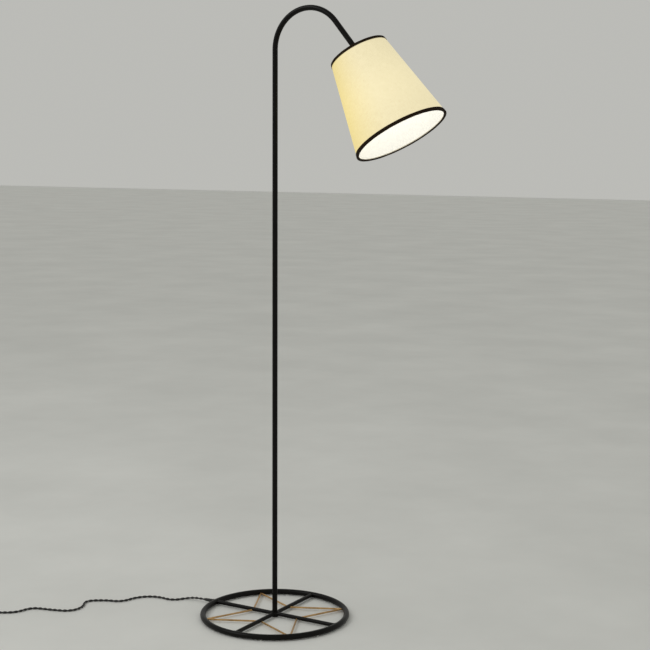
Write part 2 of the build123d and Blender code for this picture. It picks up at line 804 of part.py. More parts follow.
# Below the swivel the two cores part to the wire holes.
core_radius = 1.3
split_place = cap_seat + spigot_length + 1.0
with BuildPart() as head_flex:
    with BuildSketch(across(head, flex_stop)):
        Circle(inner_flex_diameter / 2)
    extrude(amount=split_place - flex_stop)
    for side in (1, -1):
        start = head.origin + head.y_dir * (split_place - 0.5) + head.x_dir * side * 0.8
        end = head.origin + head.y_dir * (body_start + 4) + head.x_dir * side * core_offset
        knee = head.origin + head.y_dir * (body_start - 2) + head.x_dir * side * core_offset
        for tail, nose in ((start, knee), (knee, end)):
            with BuildSketch(Plane(origin=tail, z_dir=nose - tail)):
                Circle(core_radius)
            extrude(amount=(nose - tail).length)
        with Locations(knee):
            Sphere(core_radius)
pieces["head_flex"] = head_flex

# ---------------------------------------------------------------- gland, flex on the floor, plug
flange_radius, flange_thickness = gland_flange[0] / 2, gland_flange[1]
sleeve_length, sleeve_thick, sleeve_thin = gland_sleeve
spigot_radius, spigot_depth = gland_spigot[0] / 2, gland_spigot[1]
gland_bore = inner_flex_diameter / 2 + fit_gap
gland_section = Plane(origin=(-hoop_outside, 0, base_level), x_dir=(0, 1, 0), z_dir=(0, 0, 1))
with BuildPart() as cord_gland:
    with BuildSketch(gland_section):
        with BuildLine():
            Polyline(
                (gland_bore, -spigot_depth),
                (spigot_radius, -spigot_depth),
                (spigot_radius, 0),
                (flange_radius, 0),
                (flange_radius, flange_thickness),
                (sleeve_thick / 2, flange_thickness),
                (sleeve_thin / 2, flange_thickness + sleeve_length),
                (gland_bore, flange_thickness + sleeve_length),
                close=True,
            )
        make_face()
    revolve(axis=Axis(gland_section.origin, gland_section.y_dir))
    # The flange is cut to the hoop's round side.
    with Locations((0, 0, base_level)):
        Torus(hoop_radius, hoop_bar / 2, mode=Mode.SUBTRACT)
pieces["cord_gland"] = cord_gland

pieces["mains_flex"] = laid_flex(flex_route)

with BuildPart() as mains_flex_coil:
    with BuildSketch(Plane(origin=(coil_centre[0], coil_centre[1], 0), x_dir=(1, 0, 0),
                           z_dir=(0, -1, 0))):
        with Locations(((coil_inner + coil_outer) / 2, coil_height / 2)):
            RectangleRounded(coil_outer - coil_inner, coil_height, coil_corner)
    revolve(axis=Axis((coil_centre[0], coil_centre[1], 0), (0, 0, 1)))
pieces["mains_flex_coil"] = mains_flex_coil

pieces["mains_flex_tail"] = laid_flex(tail_route)

heading = radians(plug_heading)
plug_forward = Vector(cos(heading), sin(heading), 0)
plug_side = Vector(-sin(heading), cos(heading), 0)
plug_start = Vector(plug_place[0], plug_place[1], plug_level)


def plug_plane(distance):
    """A plane square to the plug, at a distance from where the flex goes in."""
    return Plane(origin=plug_start + plug_forward * distance, x_dir=plug_side, z_dir=plug_forward)


body_length, body_width, body_thickness = plug_body_size
with BuildPart() as plug_body:
    with BuildSketch(plug_plane(0)):
        Circle(plug_sleeve[1] / 2)
    with BuildSketch(plug_plane(plug_sleeve[0])):
        Circle(plug_sleeve[2] / 2)
    loft()
    with BuildSketch(plug_plane(plug_sleeve[0])):
        RectangleRounded(body_width, body_thickness, plug_corner)
    extrude(amount=body_length)
    fillet(plug_body.faces().filter_by(GeomType.PLANE).group_by(SortBy.AREA)[-1].edges(), radius=2.0)
pieces["plug_body"] = plug_body

blade_length, blade_thickness, blade_height = blade_size
blade_start = plug_sleeve[0] + body_length
with BuildPart() as plug_blades:
    with BuildSketch(plug_plane(blade_start)):
        with Locations((blade_spacing / 2, 0), (-blade_spacing / 2, 0)):
            Rectangle(blade_thickness, blade_height)
    extrude(amount=blade_length)
    hole_centre = plug_start + plug_forward * (blade_start + blade_length - 4)
    with BuildSketch(Plane(origin=hole_centre - plug_side * body_width, z_dir=plug_side)):
        Circle(blade_hole / 2)
    extrude(amount=2 * body_width, mode=Mode.SUBTRACT)
pieces["plug_blades"] = plug_blades

# ---------------------------------------------------------------- write the pieces
os.makedirs("parts", exist_ok=True)
for name, piece in pieces.items():
    piece.part.label = name
    export_step(piece.part, f"parts/{name}.step")
print(len(pieces), "pieces written")
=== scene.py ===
import json
from math import atan2, cos, pi, radians, sin, sqrt, tau

import bpy
from mathutils import Matrix, Vector


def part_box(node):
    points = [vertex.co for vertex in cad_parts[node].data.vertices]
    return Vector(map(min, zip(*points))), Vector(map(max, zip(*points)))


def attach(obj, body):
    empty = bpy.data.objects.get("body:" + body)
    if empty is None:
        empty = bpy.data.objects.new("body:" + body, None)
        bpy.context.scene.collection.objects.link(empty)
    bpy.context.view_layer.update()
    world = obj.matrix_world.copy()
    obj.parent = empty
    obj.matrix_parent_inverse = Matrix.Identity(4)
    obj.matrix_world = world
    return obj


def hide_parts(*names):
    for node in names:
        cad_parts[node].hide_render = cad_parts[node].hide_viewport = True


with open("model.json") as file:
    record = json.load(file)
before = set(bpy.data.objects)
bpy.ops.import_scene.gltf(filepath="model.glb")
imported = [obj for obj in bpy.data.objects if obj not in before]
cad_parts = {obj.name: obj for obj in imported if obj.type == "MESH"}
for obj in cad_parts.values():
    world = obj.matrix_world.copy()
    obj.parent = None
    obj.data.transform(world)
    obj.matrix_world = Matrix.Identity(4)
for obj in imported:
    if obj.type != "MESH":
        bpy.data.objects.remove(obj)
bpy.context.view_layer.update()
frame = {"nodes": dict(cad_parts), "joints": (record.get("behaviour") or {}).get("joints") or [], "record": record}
nodes = frame["nodes"]
bpy.ops.object.select_all(action="DESELECT")
print("frame loaded,", len(nodes), "nodes")

# The head's own directions: along the lampholder, across it, and the swivel's pivot.
turnJoint = next(joint for joint in frame["joints"] if joint["name"] == "shade_turn")
pivot = Vector(turnJoint["pos_m"])
headAlong = Vector(turnJoint["axis"]).normalized()
headSide = Vector((-headAlong.z, 0, headAlong.x))
headPlace = Matrix.Translation(pivot) @ Matrix(
    (headSide, headAlong.cross(headSide), headAlong)).transposed().to_4x4()

camera = {
    "place": (1.90727, -2.94165, 1.1682),
    "lens": 79.754,
    "azimuth": 30.954,
    "down": 6.984,
    "roll": 0.277,
}


def makeCamera():
    bpy.ops.object.camera_add(location=camera["place"])
    eye = bpy.context.object
    eye.name = "camera"
    eye.data.sensor_width = 36
    eye.data.lens = camera["lens"]
    eye.data.dof.use_dof = False
    azimuth, down, roll = (radians(camera[k]) for k in ("azimuth", "down", "roll"))
    back = Vector((sin(azimuth) * cos(down), -cos(azimuth) * cos(down), sin(down)))
    right = Vector((cos(azimuth), sin(azimuth), 0))
    up = back.cross(right)
    turned = Matrix((right * cos(roll) + up * sin(roll), up * cos(roll) - right * sin(roll), back))
    eye.matrix_world = Matrix.Translation(camera["place"]) @ turned.transposed().to_4x4()
    bpy.context.scene.camera = eye
    print("camera placed")


makeCamera()

# The mains flex: two cloth-covered cores twisted together, metres throughout.
flex = {
    "diameter": 0.006,
    "coreRadius": 0.00158,
    "coresApart": 0.003,
    "twist": 0.027,
    "sides": 10,
    "step": 0.0021,
    "length": 2.2,
}
flexRoute = [
    (-0.213, 0.0, 0.0085),
    (-0.243, 0.0, 0.0085),
    (-0.271, -0.003, 0.0031),
    (-0.293, -0.038, 0.0031),
    (-0.345, -0.031, 0.0031),
    (-0.386, -0.062, 0.0031),
    (-0.396, -0.116, 0.0031),
    (-0.440, -0.127, 0.0031),
    (-0.482, -0.160, 0.0031),
    (-0.451, -0.203, 0.0031),
    (-0.458, -0.245, 0.0031),
    (-0.510, -0.262, 0.0031),
    (-0.560, -0.273, 0.0031),
    (-0.567, -0.324, 0.0031),
    (-0.606, -0.349, 0.0031),
    (-0.668, -0.3795, 0.0031),
]
tailRoute = [
    (-0.677, -0.457, 0.0086),
    (-0.663, -0.480, 0.0042),
    (-0.640, -0.496, 0.0031),
    (-0.612, -0.497, 0.008),
    (-0.592, -0.495, 0.008),
]
coil = {
    "centre": (-0.648, -0.420),
    "turns": 6.32,
    "perTurn": 14,
    "outer": 0.0446,
    "inner": 0.0262,
    "apart": 0.006,
    "climb": (3.1, 4.0),
    "low": 0.0031,
    "high": 0.0083,
    "wider": 0.003,  # the top layer starts this much further out
}


def coilTurns():
    # In along the bottom layer, up at the middle, and out again on top.
    start = atan2(flexRoute[-1][1] - coil["centre"][1], flexRoute[-1][0] - coil["centre"][0])
    spread = 1 / (0.75 + 0.25 * cos(tau / coil["perTurn"]))  # the curve runs inside its points
    inEnd, outStart = coil["climb"]
    points = []
    for count in range(1, int(coil["turns"] * coil["perTurn"])):
        turn = count / coil["perTurn"]
        rise = min(max((turn - inEnd) / (outStart - inEnd), 0), 1)
        inward = coil["outer"] - (coil["outer"] - coil["inner"]) * min(turn / inEnd, 1)
        radius = (inward + coil["wider"] * rise + coil["apart"] * max(turn - outStart, 0)) * spread
        angle = start + tau * turn
        points.append((coil["centre"][0] + radius * cos(angle),
                       coil["centre"][1] + radius * sin(angle),
                       coil["low"] + (coil["high"] - coil["low"]) * rise))
    return points


def smoothLine(points):
    curve = bpy.data.curves.new("flexRoute", "CURVE")
    curve.dimensions = "3D"
    curve.resolution_u = 14
    spline = curve.splines.new("NURBS")
    spline.points.add(len(points) - 1)
    for point, place in zip(spline.points, points):
        point.co = (*place, 1)
    spline.use_endpoint_u = True
    spline.order_u = 3
    holder = bpy.data.objects.new("flexRoute", curve)
    mesh = bpy.data.meshes.new_from_object(holder)
    line = [vertex.co.copy() for vertex in mesh.vertices]
    bpy.data.objects.remove(holder)
    bpy.data.meshes.remove(mesh)
    return line


def evenly(line, step):
    # The same line with points an even step apart, and how far along each one is.
    points, places, travelled, wanted = [line[0]], [0.0], 0.0, step
    for before, after in zip(line, line[1:]):
        run = (after - before).length
        while travelled + run >= wanted:
            points.append(before.lerp(after, (wanted - travelled) / run))
            places.append(wanted)
            wanted += step
        travelled += run
    return points, places


def twistedPair(name, line):
    points, places = evenly(line, flex["step"])
    sides, count = flex["sides"], len(points)
    vertices, faces, faceUvs = [], [], []
    side = Vector((0, 0, 1))
    for number, (point, place) in enumerate(zip(points, places)):
        ahead = (points[min(number + 1, count - 1)] - points[max(number - 1, 0)]).normalized()
        side = (side - ahead * side.dot(ahead)).normalized()
        other = ahead.cross(side)
        for half in (0, pi):
            phase = tau * place / flex["twist"] + half
            middle = point + (side * cos(phase) + other * sin(phase)) * flex["coresApart"] / 2
            for corner in range(sides):
                angle = tau * corner / sides + phase
                vertices.append(middle + (side * cos(angle) + other * sin(angle)) * flex["coreRadius"])
    for number in range(count - 1):
        for core in (0, 1):
            ring = (2 * number + core) * sides
            for corner in range(sides):
                beyond = (corner + 1) % sides
                above = ring + 2 * sides
                faces.append((ring + corner, ring + beyond, above + beyond, above + corner))
                low, high = places[number], places[number + 1]
                left, right = corner / sides, (corner + 1) / sides
                faceUvs.append(((left, low), (right, low), (right, high), (left, high)))
    for core in (0, 1):
        first, last = core * sides, (2 * (count - 1) + core) * sides
        faces.append(tuple(first + corner for corner in reversed(range(sides))))
        faces.append(tuple(last + corner for corner in range(sides)))
        faceUvs += [((0.5, 0.0),) * sides, ((0.5, places[-1]),) * sides]
    mesh = bpy.data.meshes.new(name)
    mesh.from_pydata(vertices, [], faces)
    layer = mesh.uv_layers.new(name="along")
    for loop, uv in zip(layer.data, (uv for face in faceUvs for uv in face)):
        loop.uv = uv
    mesh.polygons.foreach_set("use_smooth", [True] * len(faces))
    piece = bpy.data.objects.new(name, mesh)
    bpy.context.scene.collection.objects.link(piece)
    return piece, points


flexLine = smoothLine([*flexRoute, *coilTurns(), *tailRoute])
mainsFlex, flexPath = twistedPair("mainsFlexCores", flexLine)
print("flex laid,", round(sum((b - a).length for a, b in zip(flexLine, flexLine[1:])), 3), "m")


# Working tools shared by the pieces below.
def onlySelect(piece):
    bpy.ops.object.select_all(action="DESELECT")
    piece.select_set(True)
    bpy.context.view_layer.objects.active = piece


def applied(piece, kind, **settings):
    onlySelect(piece)
    modifier = piece.modifiers.new(kind.lower(), kind)
    for setting, value in settings.items():
        setattr(modifier, setting, value)
    bpy.ops.object.modifier_apply(modifier=modifier.name)


def settle(piece, matrix):
    # Bakes a place into the mesh, so the object itself stays at the origin.
    onlySelect(piece)
    piece.matrix_world = matrix @ piece.matrix_world
    bpy.ops.object.transform_apply(location=True, rotation=True, scale=True)


def drawnRings(name, profile, sides, closed=False):
    # A circle drawn out ring by ring along Z, from (radius, height) points.
    bpy.ops.object.select_all(action="DESELECT")
    radius, height = profile[0]
    bpy.ops.mesh.primitive_circle_add(vertices=sides, radius=radius, location=(0, 0, height))
    piece = bpy.context.object
    piece.name = piece.data.name = name
    bpy.ops.object.transform_apply(location=True)
    bpy.ops.object.mode_set(mode="EDIT")
    bpy.ops.mesh.select_mode(type="EDGE")
    bpy.ops.mesh.select_all(action="SELECT")
    for nextRadius, nextHeight in profile[1:] + (profile[:1] if closed else []):
        bpy.ops.mesh.extrude_edges_move(TRANSFORM_OT_translate={"value": (0, 0, nextHeight - height)})
        bpy.ops.transform.resize(value=(nextRadius / radius, nextRadius / radius, 1),
                                 center_override=(0, 0, nextHeight))
        radius, height = nextRadius, nextHeight
    bpy.ops.mesh.select_all(action="SELECT")
    bpy.ops.mesh.remove_doubles(threshold=0.000004)
    bpy.ops.mesh.normals_make_consistent(inside=False)
    bpy.ops.object.mode_set(mode="OBJECT")
    return piece


def smoothed(piece, angle=35):
    onlySelect(piece)
    bpy.ops.object.shade_smooth_by_angle(angle=radians(angle))


def wrapUvs(piece, around):
    # Metres round the axis and along it, so a weave has its real size.
    layer = piece.data.uv_layers.new(name="weave")
    for face in piece.data.polygons:
        middle = atan2(face.center.y, face.center.x)
        for index in face.loop_indices:
            place = piece.data.vertices[piece.data.loops[index].vertex_index].co
            angle = atan2(place.y, place.x)
            while angle - middle > pi:
                angle -= tau
            while middle - angle > pi:
                angle += tau
            layer.data[index].uv = (angle * around, place.z)
    piece.data.uv_layers.active = layer


def headRings(node):
    # (distance from the head's axis, distance along it) of a node's points.
    back = headPlace.inverted()
    places = [back @ vertex.co for vertex in nodes[node].data.vertices]
    return [(sqrt(p.x * p.x + p.y * p.y), p.z) for p in places]


coverRings = headRings("shade_cover")
shadeLength = max(along for _, along in coverRings)
topRadius = max(radius for radius, along in coverRings if along < 0.001)
bottomRadius = max(radius for radius, _ in coverRings)
flare = (bottomRadius - topRadius) / shadeLength
bulbRings = headRings("bulb_globe")
bulbRadius = max(radius for radius, _ in bulbRings)
bulbCentre = max(along for _, along in bulbRings) - bulbRadius
print("shade", [round(v, 4) for v in (topRadius, bottomRadius, shadeLength)])

shade = {
    "sides": 240,
    "rings": 40,
    "clothWall": 0.0006,
    "liningGap": 0.0008,
    "liningWall": 0.0005,
    "seamAt": -100,
    "seamWidth": 7,
    "seamRise": 0.00035,
    "clothInset": 0.0004,
    "lapEdge": 0.0002,
    "liningRaised": 0.0003,
    "liningShort": 0.0008,
    # Where the painted yellow glow sits round the shade and how it fades.
    "yellowGlowSide": 150,
    "yellowGlowStart": 0.1,
    "yellowGlowFade": 1.6,
    "ambientGlow": 0.45,
}


def coneProfile(inset, start, end, rings):
    steps = [start + (end - start) * count / rings for count in range(rings + 1)]
    return [(topRadius + flare * along - inset, along) for along in steps]


def paintGlow(piece):
    # Painted light: how much of the bulb's light reaches each point, and a yellower glow painted on the side that
    # faces one way.
    glow = piece.data.attributes.new("glow", "FLOAT", "POINT")
    yellowGlowShare = piece.data.attributes.new("yellowGlowShare", "FLOAT", "POINT")
    nearest = topRadius + flare * bulbCentre
    for number, vertex in enumerate(piece.data.vertices):
        radius = sqrt(vertex.co.x ** 2 + vertex.co.y ** 2)
        distance = sqrt(radius ** 2 + (vertex.co.z - bulbCentre) ** 2)
        direct = (nearest / distance) ** 2 * radius / distance
        glow.data[number].value = shade["ambientGlow"] + (1 - shade["ambientGlow"]) * direct
        # A yellower glow is painted on the side that faces this angle.
        away = atan2(vertex.co.y, vertex.co.x) - radians(shade["yellowGlowSide"])
        facing = (cos(away) - shade["yellowGlowStart"]) / (1 - shade["yellowGlowStart"])
        yellowGlowShare.data[number].value = max(0.0, facing) ** shade["yellowGlowFade"]


def makeCover():
    profile = coneProfile(shade["clothInset"], 0, shadeLength, shade["rings"])
    cover = drawnRings("shadeCloth", profile, shade["sides"])
    # The cloth laps over itself down one side.
    seam = radians(shade["seamAt"])
    bpy.ops.object.mode_set(mode="EDIT")
    bpy.ops.mesh.select_mode(type="FACE")
    bpy.ops.mesh.select_all(action="DESELECT")
    bpy.ops.object.mode_set(mode="OBJECT")
    for face in cover.data.polygons:
        away = atan2(face.center.y, face.center.x) - seam
        face.select = abs(atan2(sin(away), cos(away))) < radians(shade["seamWidth"] / 2)
    bpy.ops.object.mode_set(mode="EDIT")
    bpy.ops.mesh.inset(thickness=shade["lapEdge"], depth=0)
    bpy.ops.transform.shrink_fatten(value=shade["seamRise"])
    bpy.ops.mesh.select_all(action="SELECT")
    bpy.ops.mesh.normals_make_consistent(inside=False)
    bpy.ops.object.mode_set(mode="OBJECT")
    applied(cover, "SOLIDIFY", thickness=shade["clothWall"], offset=-1)
    wrapUvs(cover, (topRadius + bottomRadius) / 2)
    paintGlow(cover)
    smoothed(cover, 40)
    settle(cover, headPlace)
    return cover


def makeLining():
    inset = shade["liningGap"] + shade["liningWall"] - shade["liningRaised"]
    short = shade["liningShort"]
    profile = coneProfile(inset, short, shadeLength - short, shade["rings"])
    lining = drawnRings("shadeLiner", profile, shade["sides"])
    applied(lining, "SOLIDIFY", thickness=shade["liningWall"], offset=-1)
    wrapUvs(lining, (topRadius + bottomRadius) / 2)
    paintGlow(lining)
    smoothed(lining, 40)
    settle(lining, headPlace)
    return lining


tape = {
    "thickness": 0.0006,
    "topWidth": 0.006,
    "bottomWidth": 0.0065,
    "innerWidth": 0.0012,
    "sides": 300,
    "wobble": 0.0005,
    "wobbleScale": 0.03,
}


def makeTape(name, node, edge, inward, width):
    # A folded tape over the shade's edge: inward is 1 at the top and -1 at the bottom.
    rings = headRings(node)
    innerRadius = min(radius for radius, _ in rings)
    thick = tape["thickness"]
    lip = edge - inward * thick
    outer = topRadius + flare * edge
    outEdge, inEdge = edge + inward * width, edge + inward * tape["innerWidth"]
    outLow = topRadius + flare * outEdge
    steps = 5
    profile = [(outLow + thick * 0.6, outEdge)]
    for count in range(1, steps + 1):
        share = count / steps
        profile.append((outLow + (outer - outLow) * share + thick, outEdge + (edge - outEdge) * share))
    profile += [
        (outer + thick * 0.6, lip),
        ((outer + innerRadius) / 2, lip - inward * thick * 0.3),
        (innerRadius + thick * 0.4, lip),
        (innerRadius, edge),
        (innerRadius, (edge + inEdge) / 2),
        (innerRadius + thick * 0.2, inEdge),
        (innerRadius + thick, inEdge),
        (innerRadius + thick, edge + inward * thick * 0.5),
        (outer, edge + inward * thick * 0.5),
        (outLow, outEdge),
    ]
    piece = drawnRings(name, profile, tape["sides"], closed=True)
    wrinkle = bpy.data.textures.new(name + "Wobble", "CLOUDS")
    wrinkle.noise_scale = tape["wobbleScale"]
    applied(piece, "DISPLACE", texture=wrinkle, strength=tape["wobble"], mid_level=0.5,
            texture_coords="LOCAL")
    wrapUvs(piece, outer)
    smoothed(piece, 50)
    settle(piece, headPlace)
    return piece


shadeCloth = makeCover()
shadeLiner = makeLining()
topTape = makeTape("topTape", "top_binding", 0.0, 1, tape["topWidth"])
bottomTape = makeTape("bottomTape", "bottom_binding", shadeLength, -1, tape["bottomWidth"])
print("shade made")

gland = {
    "sides": 48,
    "bore": 0.0031,
    "sleeve": 0.026,
    "sleeveRadii": (0.0047, 0.0038),
    "ribs": 6,
    "ribDepth": 0.0007,
    "ribShape": ((0.30, 0), (0.42, 1), (0.72, 1), (0.86, 0)),
    "edge": 0.0006,
    "flange": 0.002,
    "neck": 0.0022,
}


def makeStrainRelief():
    low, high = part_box("cord_gland")
    flangeRadius = (high.z - low.z) / 2
    total = high.x - flexRoute[0][0]  # from inside the hoop to the sleeve's end
    flangeAt = total - gland["sleeve"]
    edge, neck = gland["edge"], flangeRadius - gland["neck"]
    thick, thin = gland["sleeveRadii"]
    flangeEnd = flangeAt + gland["flange"]
    sleeveStart = flangeEnd + edge
    profile = [(gland["bore"] + 0.0002, 0.0), (neck, 0.0), (neck, flangeAt),
               (flangeRadius - edge, flangeAt), (flangeRadius, flangeAt + edge),
               (flangeRadius, flangeEnd - edge), (flangeRadius - edge, flangeEnd),
               (thick + 0.0004, flangeEnd + 0.0001), (thick, sleeveStart)]
    for rib in range(gland["ribs"]):
        for share, dip in gland["ribShape"]:
            along = (rib + share) / gland["ribs"]
            radius = thick + (thin - thick) * along - dip * gland["ribDepth"] * (1 - along * 0.5)
            profile.append((radius, sleeveStart + (total - sleeveStart) * along))
    profile += [(thin, total - 0.0004), (thin - 0.0003, total), (gland["bore"], total)]
    piece = drawnRings("strainRelief", profile, gland["sides"], closed=True)
    smoothed(piece, 40)
    backwards = Matrix.Rotation(-pi / 2, 4, "Y")  # Z turned to point along -X
    settle(piece, Matrix.Translation((high.x, 0, (low.z + high.z) / 2)) @ backwards)
    return piece


plug = {
    "width": 0.025,
    "thickness": 0.016,
    "length": 0.028,
    "sleeve": 0.022,
    "sleeveRadii": (0.0037, 0.0055),
    "round": 0.0042,
    "shoulders": (0.62, 0.76),
    "cuts": 10,
    "gripDepth": 0.0006,
    "gripEdge": 0.0003,
    "ribs": 7,
    "ribDepth": 0.0007,
    "ribShape": ((0.35, 0), (0.5, 1), (0.8, 1), (0.95, 0)),
    "bore": 0.0028,
}


def makePlug():
    # Z runs from the flex towards the blades while it is made.
    bpy.ops.object.select_all(action="DESELECT")
    middle = plug["sleeve"] + plug["length"] / 2
    bpy.ops.mesh.primitive_cube_add(size=1, location=(0, 0, middle),
                                    scale=(plug["width"], plug["thickness"], plug["length"]))
    body = bpy.context.object
    body.name = body.data.name = "plugBody"
    bpy.ops.object.transform_apply(location=True, rotation=True, scale=True)
    # The back shoulders slope towards the sleeve.
    for vertex in body.data.vertices:
        vertex.select = False
    for edge in body.data.edges:
        edge.select = False
    for face in body.data.polygons:
        face.select = face.normal.z < -0.9
    bpy.ops.object.mode_set(mode="EDIT")
    bpy.ops.mesh.select_mode(type="FACE")
    bpy.ops.transform.resize(value=(*plug["shoulders"], 1), center_override=(0, 0, plug["sleeve"]))
    bpy.ops.mesh.select_all(action="SELECT")
    bpy.ops.mesh.subdivide(number_cuts=plug["cuts"])
    bpy.ops.mesh.select_all(action="DESELECT")
    bpy.ops.object.mode_set(mode="OBJECT")
    # Finger grips on the two narrow sides.
    for face in body.data.polygons:
        along = (face.center.z - plug["sleeve"]) / plug["length"]
        row = int(along * (plug["cuts"] + 1))
        narrow = abs(face.normal.x) > 0.8 and abs(face.center.y) < plug["thickness"] * 0.36
        face.select = narrow and row % 2 == 1 and 1 < row < plug["cuts"]
    bpy.ops.object.mode_set(mode="EDIT")
    bpy.ops.mesh.inset(thickness=plug["gripEdge"], depth=-plug["gripDepth"])
    bpy.ops.object.mode_set(mode="OBJECT")
    applied(body, "BEVEL", width=plug["round"], segments=5, limit_method="ANGLE",
            angle_limit=radians(60))
    thin, thick = plug["sleeveRadii"]
    profile = [(plug["bore"], 0.0), (thin, 0.0)]
    for rib in range(plug["ribs"]):
        for share, dip in plug["ribShape"]:
            along = (rib + share) / plug["ribs"]
            radius = thin + (thick - thin) * along - dip * plug["ribDepth"]
            profile.append((radius, along * (plug["sleeve"] - 0.001)))
    profile += [(thick + 0.0004, plug["sleeve"] + 0.0004), (plug["bore"], plug["sleeve"] + 0.0006)]
    sleeve = drawnRings("plugSleeve", profile, 40, closed=True)
    onlySelect(body)
    sleeve.select_set(True)
    bpy.ops.object.join()
    smoothed(body, 40)
    start = Vector(tailRoute[-1])
    low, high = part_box("plug_blades")
    ahead = (low + high) / 2 - start
    heading = atan2(ahead.y, ahead.x)
    settle(body, Matrix.Translation(start) @ Matrix.Rotation(heading, 4, "Z")
           @ Matrix.Rotation(pi / 2, 4, "Y") @ Matrix.Rotation(pi / 2, 4, "Z"))
    return body


tie = {
    "at": 20,
    "width": 0.007,
    "thickness": 0.0009,
    "half": (0.0131, 0.0061),
    "edge": 0.0002,
    "coilHole": 0.024,
}


def makeTie():
    # A strap round the coil's turns, its end pressed down on top.
    bpy.ops.object.select_all(action="DESELECT")
    bpy.ops.mesh.primitive_cylinder_add(vertices=48, radius=1, depth=tie["width"],
                                        end_fill_type="NOTHING")
    strap = bpy.context.object
    strap.name = strap.data.name = "coilStrap"
    bpy.ops.object.mode_set(mode="EDIT")
    bpy.ops.mesh.select_all(action="SELECT")
    bpy.ops.transform.resize(value=(tie["half"][0], tie["half"][1], 1))
    bpy.ops.mesh.subdivide(number_cuts=1)
    bpy.ops.object.mode_set(mode="OBJECT")
    applied(strap, "SOLIDIFY", thickness=tie["thickness"], offset=1)
    applied(strap, "BEVEL", width=tie["edge"], segments=2, limit_method="ANGLE",
            angle_limit=radians(50))
    low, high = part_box("mains_flex_coil")
    middle = (low + high) / 2
    ring = ((high.x - low.x) / 2 + tie["coilHole"]) / 2
    angle = radians(tie["at"])
    place = Vector((middle.x + ring * cos(angle), middle.y + ring * sin(angle),
                    tie["half"][1] + tie["thickness"]))
    smoothed(strap, 40)
    settle(strap, Matrix.Translation(place) @ Matrix.Rotation(angle, 4, "Z")
           @ Matrix.Rotation(pi / 2, 4, "X"))
    return strap


weld = {
    "height": 0.0016,
    "reach": 0.0022,
    "sunk": 0.001,
    "overlap": 0.0004,
    "sides": 32,
    "lumps": 0.002,
    "lumpDepth": 0.0005,
}


def makeWelds():
    # A small fillet bead where each bar meets the hub and the hoop.
    low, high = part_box("spoke_front")
    barRadius = (high.z - low.z) / 2
    level = (high.z + low.z) / 2
    beads = []
    for turn in range(4):
        for end, way in ((low.x, 1), (high.x, -1)):
            inside = barRadius - weld["overlap"]
            profile = [(inside, -weld["sunk"]), (barRadius + weld["height"], -weld["sunk"]),
                       (barRadius + weld["height"] * 0.55, weld["reach"] * 0.35),
                       (barRadius + weld["height"] * 0.2, weld["reach"] * 0.75),
                       (inside, weld["reach"])]
            bead = drawnRings("barWeld", profile, weld["sides"], closed=True)
            lump = bpy.data.textures.new("weldLump", "CLOUDS")
            lump.noise_scale = weld["lumps"]
            applied(bead, "DISPLACE", texture=lump, strength=weld["lumpDepth"], mid_level=0.5,
                    texture_coords="LOCAL")
            tilt = Matrix.Rotation(way * pi / 2, 4, "Y")
            settle(bead, Matrix.Rotation(turn * pi / 2, 4, "Z")
                   @ Matrix.Translation((end, 0, level)) @ tilt)
            beads.append(bead)
    onlySelect(beads[0])
    for bead in beads:
        bead.select_set(True)
    bpy.ops.object.join()
    beads[0].name = beads[0].data.name = "barWelds"
    smoothed(beads[0], 60)
    return beads[0]


strainRelief = makeStrainRelief()
plugBody = makePlug()
coilStrap = makeTie()
barWelds = makeWelds()
print("small pieces made")


# Materials. put() adds a node and links or sets its inputs.
def put(tree, kind, settings, inputs):
    node = tree.nodes.new("ShaderNode" + kind)
    for setting, value in settings.items():
        setattr(node, setting, value)
    for key, value in inputs.items():
        if isinstance(value, bpy.types.NodeSocket):
            tree.links.new(value, node.inputs[key])
        else:
            node.inputs[key].default_value = value
    return node


def newGroup(name, ins, outs):
    group = bpy.data.node_groups.new(name, "ShaderNodeTree")
    for label, kind, value in ins:
        socket = group.interface.new_socket(name=label, in_out="INPUT", socket_type="NodeSocket" + kind)
        if value is not None:
            socket.default_value = value
    for label in outs:
        group.interface.new_socket(name=label, in_out="OUTPUT", socket_type="NodeSocketFloat")
    return group, group.nodes.new("NodeGroupInput").outputs, group.nodes.new("NodeGroupOutput").inputs


def mathNode(tree, operation, first, second=0.0):
    return put(tree, "Math", {"operation": operation}, {0: first, 1: second}).outputs[0]


def makeMottle():
    # Soft uneven patches with a fine grain on top: one value and one height.
    group, given, out = newGroup(
        "mottle", [("Vector", "Vector", None), ("Patches", "Float", 20.0), ("Grain", "Float", 900.0)],
        ["Patch", "Height"])
    patch = put(group, "TexNoise", {}, {"Vector": given["Vector"], "Scale": given["Patches"],
                                        "Detail": 4.0, "Roughness": 0.6})
    grain = put(group, "TexNoise", {}, {"Vector": given["Vector"], "Scale": given["Grain"], "Detail": 2.0})
    spread = put(group, "MapRange", {}, {"Value": patch.outputs[0], "From Min": 0.3, "From Max": 0.7})
    group.links.new(spread.outputs[0], out["Patch"])
    group.links.new(grain.outputs[0], out["Height"])
    return group


def makeBrushed():
    # Long fine scratches along one direction of the given coordinates.
    group, given, out = newGroup(
        "brushed", [("Vector", "Vector", None), ("Fine", "Float", 1.0)], ["Line", "Height"])
    drawn = put(group, "Mapping", {}, {"Vector": given["Vector"], "Scale": (60.0, 60.0, 2400.0)})
    lines = put(group, "TexNoise", {}, {"Vector": drawn.outputs[0], "Scale": given["Fine"],
                                        "Detail": 5.0, "Roughness": 0.7})
    group.links.new(lines.outputs[0], out["Line"])
    group.links.new(lines.outputs[0], out["Height"])
    return group


